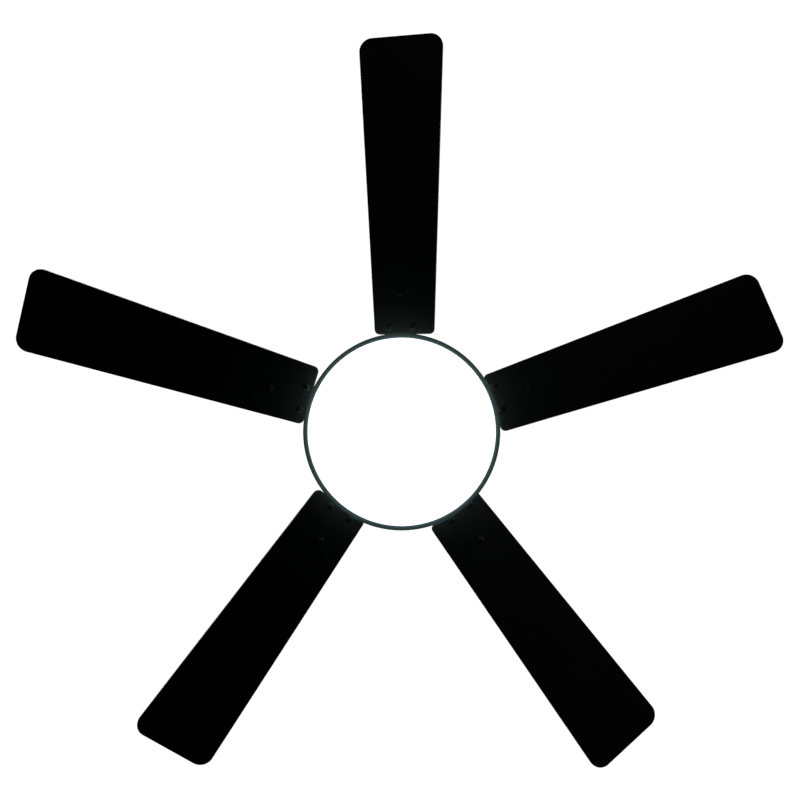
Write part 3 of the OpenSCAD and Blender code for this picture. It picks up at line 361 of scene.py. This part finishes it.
def powder_coat():
    finish = Finish("black_powder_coat")
    patches = finish.noise(16, detail=4)
    film = finish.remap(finish.noise(60, detail=6), 0.35, 0.75, 0, 1)
    dust = finish.maths("MULTIPLY", finish.maths("MULTIPLY", finish.upward(), film), PAINT_DUST)
    coat = finish.mix(patches, grey(PAINT_BLACK * 0.85), grey(PAINT_BLACK * 1.2))
    finish.bump(finish.noise(5, detail=1), 0.0006, 0.25)
    finish.bump(finish.noise(950, detail=2), 0.00012, 0.35)
    handled = finish.remap(patches, 0.3, 0.7, 0.27, 0.4)
    gloss = finish.maths("ADD", handled, finish.maths("MULTIPLY", dust, 0.8))
    return finish.done(finish.mix(dust, coat, grey(0.22, 0.04)), gloss)


black_paint = powder_coat()
print("made", black_paint.name)

# %% [markdown]
# ## The rim's satin grey with a painted glow, and the blackened screws
# The rim round the disc is painted a satin dark grey. Its lip, next to the diffuser, carries a painted
# glow: a paler, cold grey that stands in for the diffuser's light falling on it. The glow is laid on by
# the distance from the axis, since the rim is round. The screws in the blades were blackened in a salt
# bath: the skin is matt, and the driver has rubbed it paler in spots.

# %% Rim satin and blackened steel
PALE_LIP_ENDS = 0.0055
GREY_SIDE_STARTS = 0.0032


def rim_satin_painted_glow():
    finish = Finish("rim_satin_painted_glow")
    cloud = finish.noise(22, detail=4)
    from_axis = finish.tree.nodes.new("ShaderNodeVectorMath")
    from_axis.operation = "LENGTH"
    finish.tree.links.new(finish.stretch((1, 1, 0)), from_axis.inputs[0])
    radius = from_axis.outputs["Value"]
    outwards = finish.remap(radius, light_radius - PALE_LIP_ENDS, light_radius - GREY_SIDE_STARTS, 0, 1)
    finish.bump(finish.noise(1300, detail=3), 0.00008, 0.4)
    # Painted glow: these paler cold greys on the lip stand in for the diffuser's light falling on it, not
    # for paint.
    painted_lip_glow = finish.mix(cloud, (0.085, 0.115, 0.12, 1), (0.115, 0.145, 0.15, 1))
    outside = finish.mix(cloud, (0.026, 0.034, 0.036, 1), (0.038, 0.047, 0.049, 1))
    gloss = finish.remap(cloud, 0.3, 0.7, 0.42, 0.54)
    return finish.done(finish.mix(outwards, painted_lip_glow, outside), gloss)


def blackened_steel():
    finish = Finish("blackened_steel", specular=0.25)
    rubbed = finish.remap(finish.noise(420, detail=5), 0.5, 0.75, 0, 1)
    finish.bump(finish.noise(1500, detail=3), 0.00004, 0.5)
    gloss = finish.remap(rubbed, 0, 1, 0.62, 0.5)
    return finish.done(finish.mix(rubbed, grey(0.02), grey(0.034)), gloss)


print("the lip is paler within", round(light_radius - PALE_LIP_ENDS, 4), "m of the axis")


# %% [markdown]
# ## Black laminate for the blades
# The boards are covered with a satin foil that has the pores of wood pressed into it. The pores
# run along the board, so the noise is stretched along the length, using the board's own flat
# coordinates. The foil is a little glossier between the pores. The narrow band round the
# board's edge is smooth, with fine level lines from the trimming knife and a few scuffs.

# %% Blade laminate and edge band
def blade_laminate():
    finish = Finish("blade_laminate", specular=0.45)
    flat = finish.tree.nodes.new("ShaderNodeUVMap")
    flat.uv_map = "board"
    along = flat.outputs["UV"]
    figure = finish.noise(1.0, detail=5, source=finish.stretch((6, 55, 1), along), distortion=1.2)
    pores = finish.noise(1.0, detail=6, source=finish.stretch((90, 1500, 1), along))
    fine = finish.remap(pores, 0.52, 0.72, 0, 1)
    patches = finish.noise(1.0, detail=3, source=finish.stretch((7, 11, 1), along))
    film = finish.remap(finish.noise(45, detail=6), 0.3, 0.75, 0.05, 0.4)
    dust = finish.maths("MULTIPLY", finish.maths("MULTIPLY", finish.upward(), film), 0.12)
    foil = finish.mix(figure, (0.006, 0.0063, 0.007, 1), (0.0185, 0.018, 0.0175, 1))
    finish.bump(figure, 0.0003, 0.35)
    finish.bump(fine, 0.00016, 0.7)
    between = finish.remap(patches, 0.3, 0.7, 0.48, 0.6)
    gloss = finish.maths("ADD", between, finish.maths("MULTIPLY", fine, 0.12))
    return finish.done(finish.mix(dust, foil, grey(0.2, 0.05)), gloss)


def edge_band():
    finish = Finish("blade_edge_band", specular=0.45)
    lines = finish.bands(900, "Z", distortion=0.6)
    scuffs = finish.remap(finish.noise(70, detail=7), 0.58, 0.75, 0, 0.5)
    finish.bump(lines, 0.00004, 0.4)
    finish.bump(finish.noise(500, detail=3), 0.00005, 0.5)
    colour = finish.mix(scuffs, grey(0.006), grey(0.014, 0.03))
    return finish.done(colour, finish.remap(finish.noise(40), 0.3, 0.7, 0.5, 0.65))


laminate = blade_laminate()
band = edge_band()
print("made", laminate.name, "and", band.name)

# %% [markdown]
# ## Bare metals
# Zinc plate on screws and on the folded bracket is cool and slightly blotched; cast alloy is
# matt and grainy; the motor's core is a stack of thin sheets, seen as fine level lines; the
# bearings are ground bright, and the windings are enamelled copper, turn beside turn. They
# differ in colour, grain and how even their gloss is, while all of them are fully metallic.

# %% Metals
def zinc_plate():
    finish = Finish("zinc_plate", metallic=1.0)
    blotch = finish.noise(110, detail=5)
    rub = finish.noise(1.0, detail=4, source=finish.stretch((700, 700, 60)))
    finish.bump(rub, 0.00003, 0.4)
    cloudy = finish.remap(blotch, 0.3, 0.7, 0, 1)
    colour = finish.mix(cloudy, (0.3, 0.315, 0.34, 1), (0.44, 0.435, 0.41, 1))
    return finish.done(colour, finish.remap(blotch, 0.3, 0.7, 0.34, 0.52))


def cast_alloy():
    finish = Finish("cast_alloy", metallic=1.0)
    grain = finish.noise(700, detail=5)
    flow = finish.noise(30, detail=4, distortion=0.8)
    finish.bump(flow, 0.0004, 0.3)
    finish.bump(grain, 0.00012, 0.6)
    colour = finish.mix(flow, grey(0.36), grey(0.55, 0.01))
    return finish.done(colour, finish.remap(grain, 0.3, 0.7, 0.4, 0.62))


def core_sheets():
    finish = Finish("core_sheets", metallic=1.0)
    sheets = finish.bands(320, "Z")
    stain = finish.noise(60, detail=5)
    finish.bump(sheets, 0.0001, 0.8)
    colour = finish.mix(stain, grey(0.2, -0.02), grey(0.36, 0.02))
    return finish.done(colour, finish.remap(sheets, 0, 1, 0.35, 0.6))


def bearing_steel():
    finish = Finish("bearing_steel", metallic=1.0)
    oil = finish.noise(150, detail=4)
    finish.bump(finish.noise(2000, detail=2), 0.00001, 0.4)
    colour = finish.mix(oil, grey(0.55, -0.02), grey(0.72, 0.03))
    return finish.done(colour, finish.remap(oil, 0.3, 0.7, 0.1, 0.26))


def wound_copper():
    finish = Finish("wound_copper", metallic=1.0)
    turns = finish.bands(260, "DIAGONAL", distortion=0.4)
    enamel = finish.noise(90, detail=4)
    finish.bump(turns, 0.0004, 0.9)
    colour = finish.mix(enamel, (0.42, 0.13, 0.045, 1), (0.62, 0.26, 0.1, 1))
    return finish.done(colour, finish.remap(turns, 0, 1, 0.45, 0.22))


zinc = zinc_plate()
print("made", zinc.name)

# %% [markdown]
# ## Plastics, fibre, sleeve and board
# The smaller finishes: a fine spark-eroded grain on the receiver, the washers and the switch,
# fibre with tangled strands for the gaskets, woven glass on the lead, white mask on the light's
# board, and a soft yellow body on each light chip.

# %% Plastics and others
def grained_plastic(name, dark, light, rough):
    finish = Finish(name)
    grain = finish.noise(1400, detail=2)
    age = finish.noise(25, detail=4)
    finish.bump(grain, 0.00008, 0.5)
    gloss = finish.remap(grain, 0.3, 0.7, rough - 0.06, rough + 0.08)
    return finish.done(finish.mix(age, dark, light), gloss)


def pressed_fibre():
    finish = Finish("pressed_fibre", specular=0.3)
    strands = finish.noise(1.0, detail=6, source=finish.stretch((400, 400, 900)), distortion=2.0)
    finish.bump(strands, 0.0002, 0.7)
    colour = finish.mix(strands, (0.06, 0.035, 0.022, 1), (0.17, 0.11, 0.07, 1))
    return finish.done(colour, 0.85)


def woven_sleeve():
    finish = Finish("woven_sleeve", specular=0.4)
    one = finish.bands(420, "DIAGONAL")
    other = finish.bands(420, "DIAGONAL", source=finish.stretch((-1, 1, 1)))
    weave = finish.maths("MULTIPLY", one, other)
    finish.bump(weave, 0.0003, 0.8)
    return finish.done(finish.mix(weave, grey(0.45, 0.03), grey(0.68, 0.02)), 0.7)


def light_board():
    finish = Finish("light_board")
    mask = finish.noise(300, detail=4)
    tracks = finish.remap(finish.bands(30, "X", distortion=3.0), 0.45, 0.55, 0, 1)
    finish.bump(tracks, 0.00005, 0.6)
    colour = finish.mix(mask, grey(0.74), grey(0.84, 0.01))
    return finish.done(colour, finish.remap(mask, 0.3, 0.7, 0.25, 0.4))


def light_chips():
    finish = Finish("light_chips")
    swirl = finish.cells(600)
    finish.bump(swirl, 0.0001, 0.4)
    return finish.done(finish.mix(swirl, (0.85, 0.6, 0.12, 1), (0.95, 0.78, 0.3, 1)), 0.3)


nylon = grained_plastic("black_nylon", grey(0.018), grey(0.024), 0.62)
print("made", nylon.name)

# %% [markdown]
# ## The floor's finish
# The floor is pale plaster, rolled out flat: wide faint clouds of grey and a fine grit that
# breaks the lamps' reflections. It stays quiet, since all the interest belongs to the fan.

# %% Pale floor
def pale_floor():
    finish = Finish("pale_floor", specular=0.2)
    clouds = finish.noise(0.7, detail=5)
    finish.bump(finish.noise(160, detail=3), 0.0004, 0.2)
    return finish.done(finish.mix(clouds, grey(0.86, 0.004), grey(0.92, 0.004)), 0.8)


floor_mesh.materials.append(pale_floor())
print("floor wears", floor_mesh.materials[0].name)


# %% [markdown]
# ## The lit diffuser
# The opal plate glows so strongly that it reads as plain white. Opal plastic scatters the light
# of the chips behind it evenly, so the glow is the emission of a Principled shader and not a
# lamp. A faint cloudiness keeps the surface from being perfectly even when seen from the side.

# %% Opal plate
GLOW = 1.12


def lit_opal():
    finish = Finish("lit_opal", specular=0.4)
    cloud = finish.noise(9, detail=4)
    finish.bump(finish.noise(1100, detail=2), 0.00005, 0.4)
    warm = finish.mix(cloud, (0.93, 0.98, 0.98, 1), (1.0, 1.0, 0.99, 1))
    finish.plug(finish.shader.inputs["Emission Color"], warm)
    finish.shader.inputs["Emission Strength"].default_value = GLOW
    gloss = finish.remap(cloud, 0.3, 0.7, 0.28, 0.38)
    return finish.done(finish.mix(cloud, grey(0.8), grey(0.86)), gloss)


opal = lit_opal()
print("opal glows at strength", GLOW)

# %% [markdown]
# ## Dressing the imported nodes
# Nodes whose shape is right already get their finish here, one finish per slot of the record.
# The boards, castings and the diffuser are made below, and take theirs as they are built.

# %% Give each slot its finish
FINISH_OF_SLOT = {
    "bracket_zinc": zinc,
    "black_paint": black_paint,
    "black_screw": blackened_steel(),
    "zinc_screw": zinc,
    "receiver_plastic": grained_plastic("receiver_plastic", grey(0.66, 0.03), grey(0.74, 0.02), 0.5),
    "cast_alloy": cast_alloy(),
    "core_steel": core_sheets(),
    "bearing_steel": bearing_steel(),
    "copper_wire": wound_copper(),
    "gasket_fibre": pressed_fibre(),
    "washer_black": nylon,
    "blade_black": laminate,
    "switch_black": grained_plastic("switch_black", grey(0.02), grey(0.035), 0.45),
    "switch_knob": grained_plastic("switch_knob", grey(0.7, 0.02), grey(0.78, 0.02), 0.35),
    "lead_sleeve": woven_sleeve(),
    "board_white": light_board(),
    "led_yellow": light_chips(),
    "rim_grey": rim_satin_painted_glow(),
    "opal": opal,
}
for row in frame["record"]["subparts"]:
    mesh = nodes[row["node"]].data
    mesh.materials.clear()
    mesh.materials.append(FINISH_OF_SLOT[row["material_slot"]])

# %% [markdown]
# ## Even shading on turned shapes
# A bend in a spun shape is packed as a few narrow cones, and light breaks at each of them. Three
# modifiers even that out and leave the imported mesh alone: doubled vertices are welded, true
# corners are split apart by their angle, and what is still joined shares its normals by area.

# %% Smooth the narrow cones
CORNER_ANGLE = math.radians(24)
WELD_REACH = 1e-6

for node in nodes.values():
    weld = node.modifiers.new("weld", "WELD")
    weld.merge_threshold = WELD_REACH
    corners = node.modifiers.new("corners", "EDGE_SPLIT")
    corners.split_angle = CORNER_ANGLE
    corners.use_edge_sharp = False
    evened = node.modifiers.new("evened", "WEIGHTED_NORMAL")
    evened.mode = "FACE_AREA_WITH_ANGLE"
print("shading evened on", len(nodes), "nodes")


# %% [markdown]
# ## A blade's outline
# Seen flat, a blade is a long trapezium with four round corners. The outline is the tight band
# round four discs, so it is found as the convex hull of points on those discs: no tangents
# have to be worked out by hand, and every corner is a true arc.

# %% Outline of a board
ARC_POINTS = 64
LONGEST_SIDE = 0.02


def disc_points(x, y, radius):
    return [
        Vector((x + radius * math.cos(a), y + radius * math.sin(a)))
        for a in (2 * math.pi * k / ARC_POINTS for k in range(ARC_POINTS))
    ]


def board_outline():
    root_side = ROOT_WIDTH / 2 - ROOT_CORNER
    tip_side = TIP_WIDTH / 2 - TIP_CORNER
    points = []
    for side in (-1, 1):
        points += disc_points(root_radius + ROOT_CORNER, ROOT_OFFSET + side * root_side, ROOT_CORNER)
        points += disc_points(tip_radius - TIP_CORNER, side * tip_side, TIP_CORNER)
    return [points[i] for i in convex_hull_2d(points)]


def split_long_sides(loop, longest):
    """Adds points along straight sides, so that no side is longer than longest."""
    out = []
    for here, there in zip(loop, loop[1:] + loop[:1]):
        steps = max(1, math.ceil((there - here).length / longest))
        out += [here.lerp(there, k / steps) for k in range(steps)]
    return out


outline = split_long_sides(board_outline(), LONGEST_SIDE)
print("board outline has", len(outline), "points")


# %% [markdown]
# ## The boards
# A blade is a flat board with slightly rounded edges. Loops of the outline, each pulled in and
# lifted along a quarter circle, make the rounding; the two faces are filled across. The faces
# wear the pore-pressed foil, the rim of the board an edge band. The board's flat coordinates are
# kept as a map, so the pores follow its length wherever it points.

# %% Mesh of a board
EDGE_ROUND = 0.0013
ROUND_STEPS = 4


def pulled_in(loop, depth):
    out = []
    for i, here in enumerate(loop):
        along = (loop[(i + 1) % len(loop)] - loop[i - 1]).normalized()
        out.append(here + Vector((-along.y, along.x)) * depth)
    return out


def rounding():
    """Depth and height of each loop from the middle of the edge up to the face."""
    half = BLADE_THICKNESS / 2
    steps = [(0.0, 0.0)]
    for k in range(ROUND_STEPS + 1):
        a = math.pi / 2 * k / ROUND_STEPS
        steps.append((EDGE_ROUND * (1 - math.cos(a)), half - EDGE_ROUND + EDGE_ROUND * math.sin(a)))
    return steps


def board_mesh():
    bm = bmesh.new()
    flat = bm.loops.layers.uv.new("board")
    upper = rounding()
    lower = [(depth, -height) for depth, height in upper[1:]]
    rings = []
    for depth, height in reversed(upper):
        rings.append([bm.verts.new((p.x, p.y, height)) for p in pulled_in(outline, depth)])
    for depth, height in lower:
        rings.append([bm.verts.new((p.x, p.y, height)) for p in pulled_in(outline, depth)])
    for high, low in zip(rings, rings[1:]):
        for i in range(len(outline)):
            j = (i + 1) % len(outline)
            face = bm.faces.new((high[i], low[i], low[j], high[j]))
            face.material_index = 1
            face.smooth = True
    bm.faces.new(rings[0])
    bm.faces.new(list(reversed(rings[-1])))
    bmesh.ops.triangulate(bm, faces=[f for f in bm.faces if len(f.verts) > 4])
    for face in bm.faces:
        for corner in face.loops:
            corner[flat].uv = corner.vert.co.xy
    bm.normal_update()
    mesh = bpy.data.meshes.new("board")
    bm.to_mesh(mesh)
    bm.free()
    mesh.materials.append(laminate)
    mesh.materials.append(band)
    return mesh


flat_board = board_mesh()
print("a board has", len(flat_board.polygons), "faces")

# %% [markdown]
# ## Five boards on the rotor
# Every blade is a copy of the one board, with its pitch and its place round the axis baked into the mesh.
# A new piece rides a body of the imported model, and the imported nodes that it stands for are hidden.

# %% Place the boards
def add_piece(name, mesh, body, slot, *stands_for):
    """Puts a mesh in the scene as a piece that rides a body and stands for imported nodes."""
    piece = bpy.data.objects.new(name, mesh)
    scene.collection.objects.link(piece)
    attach(piece, body)
    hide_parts(*stands_for)
    return piece


tilt = Matrix.Translation((0, 0, blade_height)) @ Matrix.Rotation(-PITCH, 4, "X")
for index in range(BLADES):
    board = flat_board.copy()
    heading = Matrix.Rotation(math.radians(FIRST_BLADE + index * 360 / BLADES), 4, "Z")
    board.transform(heading @ tilt)
    piece = add_piece(f"blade_board_{index + 1}", board, "rotor", "blade_black", f"blade_{index + 1}")
    lit_boards.objects.link(piece)
print("boards placed:", BLADES)

# %% [markdown]
# ## The cast irons
# An iron comes out of a sand mould with every edge soft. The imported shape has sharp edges, so a
# copy of its mesh is rebuilt as a skin of small even cells and relaxed a little: thin edges
# turn round by themselves, while faces and screw holes stay where they are.

# %% Soften the irons
IRON_CELL = 0.0011
IRON_RELAX = 8


def softened(source, cell, relax):
    """A copy of an object's mesh with all its edges rounded, as a new mesh."""
    rough = bpy.data.objects.new("rough", source.data.copy())
    scene.collection.objects.link(rough)
    skin = rough.modifiers.new("skin", "REMESH")
    skin.mode = "VOXEL"
    skin.voxel_size = cell
    ease = rough.modifiers.new("ease", "SMOOTH")
    ease.factor = 0.5
    ease.iterations = relax
    graph = bpy.context.evaluated_depsgraph_get()
    mesh = bpy.data.meshes.new_from_object(rough.evaluated_get(graph))
    bpy.data.objects.remove(rough)
    mesh.polygons.foreach_set("use_smooth", [True] * len(mesh.polygons))
    return mesh


for index in range(BLADES):
    name = f"blade_iron_{index + 1}"
    casting = softened(nodes[name], IRON_CELL, IRON_RELAX)
    casting.materials.clear()
    casting.materials.append(black_paint)
    add_piece(f"iron_casting_{index + 1}", casting, "rotor", "black_paint", name)
print("iron castings with", len(casting.polygons), "faces each")

# %% [markdown]
# ## The opal dish
# The diffuser is pressed from a sheet: a shallow dome with a soft turn at its edge and a flat
# border that lies on the rim's lip. Its cross-section is a closed loop of points, and turning
# the loop round the axis in fine steps gives the whole dish. First comes the turning itself.

# %% A helper that turns a cross-section
DISH_STEPS = 240
ON_AXIS = 1e-6


def turned(profile, steps):
    """A closed profile of (radius, height) points turned round Z; points on the axis are shared."""
    bm = bmesh.new()
    rings = []
    for radius, height in profile:
        if radius < ON_AXIS:
            rings.append([bm.verts.new((0, 0, height))] * steps)
        else:
            angles = (2 * math.pi * k / steps for k in range(steps))
            places = [(radius * math.cos(a), radius * math.sin(a), height) for a in angles]
            rings.append([bm.verts.new(place) for place in places])
    for inner, outer in zip(rings, rings[1:] + rings[:1]):
        for k in range(steps):
            after = (k + 1) % steps
            corners = dict.fromkeys((inner[k], outer[k], outer[after], inner[after]))
            if len(corners) > 2:
                bm.faces.new(list(corners))
    bmesh.ops.recalc_face_normals(bm, faces=bm.faces)
    mesh = bpy.data.meshes.new("turned")
    bm.to_mesh(mesh)
    bm.free()
    mesh.polygons.foreach_set("use_smooth", [True] * len(mesh.polygons))
    return mesh


print("a cross-section is turned in", DISH_STEPS, "steps")

# %% [markdown]
# ## The dish's cross-section
# The dome's height grows with the square of the radius, as a pressed sheet does. A quarter turn
# leads from the dome into the skirt, and the border reaches out over the lip. The inside follows
# the dome at the sheet's thickness and ends before the skirt.

# %% Turn the diffuser
DOME_STEPS = 24
DISH_WALL = 0.0024
EDGE_TURN = 0.0012
EDGE_ANGLES = (30, 50, 70, 90)
RIM_LIP = 0.0015
RIM_LIP_REACH = 0.0042
SKIRT = 0.0007

dish_low, dish_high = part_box("diffuser")


def dish_profile():
    border_radius = dish_high.x
    border_low = rim_low.z + RIM_LIP
    face_radius = border_radius - RIM_LIP_REACH
    side = border_low - SKIRT
    crown = side - dish_low.z
    dome = [(face_radius - EDGE_TURN) * k / DOME_STEPS for k in range(DOME_STEPS + 1)]
    face = [(r, dish_low.z + crown * (r / face_radius) ** 2) for r in dome]
    start = face[-1][1]
    bend = [
        (face_radius - EDGE_TURN * (1 - math.sin(a)), start + EDGE_TURN * (1 - math.cos(a)))
        for a in (math.radians(angle) for angle in EDGE_ANGLES)
    ]
    border = [
        (face_radius, border_low),
        (border_radius, border_low),
        (border_radius, dish_high.z),
        (face_radius - DISH_WALL, dish_high.z),
    ]
    inside_end = face_radius - DISH_WALL * 1.5
    inside = [(r, z + DISH_WALL) for r, z in reversed(face) if r < inside_end]
    return face + bend + border + inside


dish = turned(dish_profile(), DISH_STEPS)
dish.materials.append(opal)
add_piece("opal_dish", dish, "shade", "opal", "diffuser")
print("dish with", len(dish.polygons), "faces")

# %% [markdown]
# ## What the spilled light reaches
# The boards joined lit_boards as they were made. The screws and washers in them catch the same
# glow, and the rim gets its own wide lamp.

# %% Link the lit pieces
lit_rim.objects.link(nodes["light_rim"])
for name in ("blade_screws", "blade_washers"):
    lit_boards.objects.link(nodes[name])
